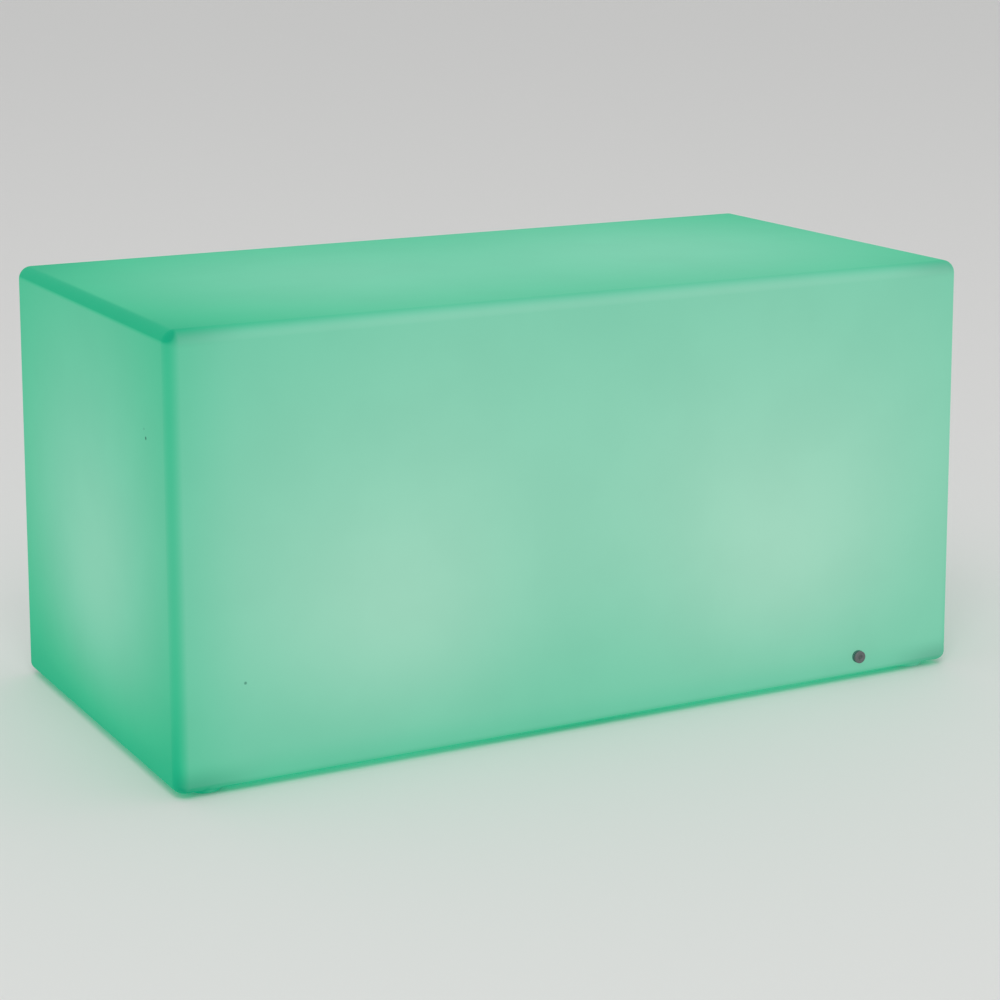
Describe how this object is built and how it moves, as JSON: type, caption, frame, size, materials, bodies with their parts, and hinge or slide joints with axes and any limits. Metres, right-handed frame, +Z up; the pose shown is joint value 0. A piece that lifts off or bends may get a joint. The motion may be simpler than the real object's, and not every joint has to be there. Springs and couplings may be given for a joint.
{
  "type": "led cube light",
  "caption": "Hollow moulded double-cube garden light on low feet, lit green by lamp modules in its floor, with a capped charging socket low on the front wall.",
  "frame": {"origin": "on the ground under the middle of the body, halfway between its ends and between its front and back walls", "axes": "+X along the body towards the end with the charging socket, -Y out of the front wall, +Z up"},
  "size_m": [0.8064, 0.4075, 0.4],
  "materials": {
    "shell_plastic": "satin",
    "cap_plastic": "satin",
    "socket_plastic": "satin",
    "black_rubber": "matte",
    "white_plastic": "satin",
    "button_plastic": "satin",
    "black_plastic": "matte",
    "steel": "satin",
    "brass": "satin",
    "nickel": "polished",
    "aluminium": "satin",
    "cell_sleeve": "gloss",
    "strap_webbing": "matte",
    "lead_sheath": "satin",
    "board_laminate": "satin",
    "connector_plastic": "satin",
    "led_board_white": "satin",
    "led_lens": "gloss",
    "clear_dome": "gloss"
  },
  "bodies": {
    "body": {"shell": "shell_plastic", "socket_body": "socket_plastic", "socket_gasket": "black_rubber", "socket_washer": "steel", "socket_nut": "steel", "socket_pin": "brass", "charging_lead": "lead_sheath", "linking_lead": "lead_sheath", "lead_clips": "white_plastic", "lead_grommets": "black_rubber", "blanking_plug": "black_rubber", "base_cover_left": "white_plastic", "cover_seal_left": "black_rubber", "cover_screws_left": "steel", "threaded_inserts_left": "brass", "battery_tray_left": "black_plastic", "battery_cells_left": "cell_sleeve", "contact_strips_left": "nickel", "battery_strap_left": "strap_webbing", "battery_lead_left": "lead_sheath", "control_board_left": "board_laminate", "board_parts_left": "connector_plastic", "board_screws_left": "steel", "button_switch_left": "black_plastic", "button_spring_left": "steel", "heat_plate_left": "aluminium", "plate_screws_left": "steel", "led_board_left": "led_board_white", "leds_left": "led_lens", "led_lead_left": "lead_sheath", "light_dome_left": "clear_dome", "base_cover_right": "white_plastic", "cover_seal_right": "black_rubber", "cover_screws_right": "steel", "threaded_inserts_right": "brass", "battery_tray_right": "black_plastic", "battery_cells_right": "cell_sleeve", "contact_strips_right": "nickel", "battery_strap_right": "strap_webbing", "battery_lead_right": "lead_sheath", "control_board_right": "board_laminate", "board_parts_right": "connector_plastic", "board_screws_right": "steel", "button_switch_right": "black_plastic", "button_spring_right": "steel", "heat_plate_right": "aluminium", "plate_screws_right": "steel", "led_board_right": "led_board_white", "leds_right": "led_lens", "led_lead_right": "lead_sheath", "light_dome_right": "clear_dome"},
    "cap": {"socket_cap": "cap_plastic"},
    "button_left": {"power_button_left": "button_plastic"},
    "button_right": {"power_button_right": "button_plastic"}
  },
  "joints": [
    {"name": "cap_pull", "type": "slide", "parent": "body", "child": "cap", "axis": [0, -0.9999, 0.012], "range_m": [0, 0.03]},
    {"name": "button_left_press", "type": "slide", "parent": "body", "child": "button_left", "axis": [0, 0, 1], "range_m": [0, 0.002], "stiffness_N_per_m": 400, "springref_m": -0.002, "deforming": ["button_spring_left"]},
    {"name": "button_right_press", "type": "slide", "parent": "body", "child": "button_right", "axis": [0, 0, 1], "range_m": [0, 0.002], "stiffness_N_per_m": 400, "springref_m": -0.002, "deforming": ["button_spring_right"]}
  ]
}
